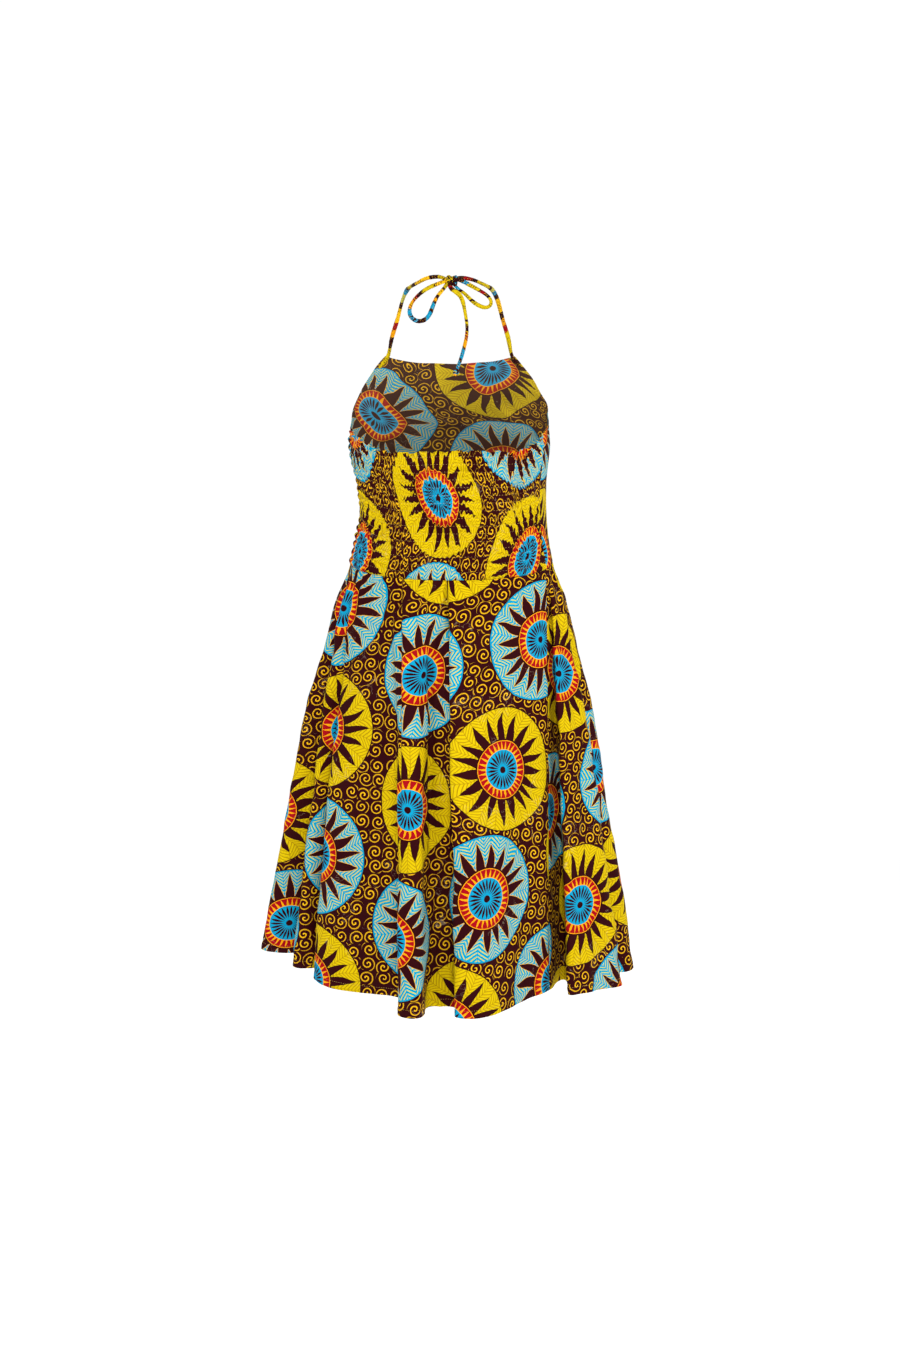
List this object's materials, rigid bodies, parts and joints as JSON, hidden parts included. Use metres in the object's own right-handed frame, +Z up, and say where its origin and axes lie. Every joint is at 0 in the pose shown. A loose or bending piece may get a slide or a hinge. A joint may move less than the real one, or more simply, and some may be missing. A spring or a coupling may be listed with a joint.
{
  "type": "halter dress",
  "caption": "Knee-length halter dress worn: shirred back panel, plain front, flared skirt hanging in folds, thin tube ties tied in a bow at the nape.",
  "frame": {"origin": "where the knotted ties rest on the wearer's nape", "axes": "+Z up, the front faces -Y, the wearer's left is +X"},
  "size_m": [0.5436, 0.5048, 1.002],
  "materials": {
    "bodice_back": "plain-woven cotton, wax printed, matt with a slight sheen",
    "bodice_front": "plain-woven cotton, wax printed, matt with a slight sheen",
    "skirt_back": "plain-woven cotton, wax printed, matt with a slight sheen",
    "skirt_front": "plain-woven cotton, wax printed, matt with a slight sheen",
    "tie": "plain-woven cotton, wax printed, matt with a slight sheen"
  },
  "bodies": {
    "root": {"bodice_back": "bodice_back", "bodice_front": "bodice_front", "skirt_back": "skirt_back", "skirt_front": "skirt_front", "tie_left": "tie", "tie_right": "tie", "bow_knot": "tie", "bow_loop_left": "tie", "bow_loop_right": "tie", "bow_tail": "tie", "tail_knot": "tie"}
  },
  "joints": []
}
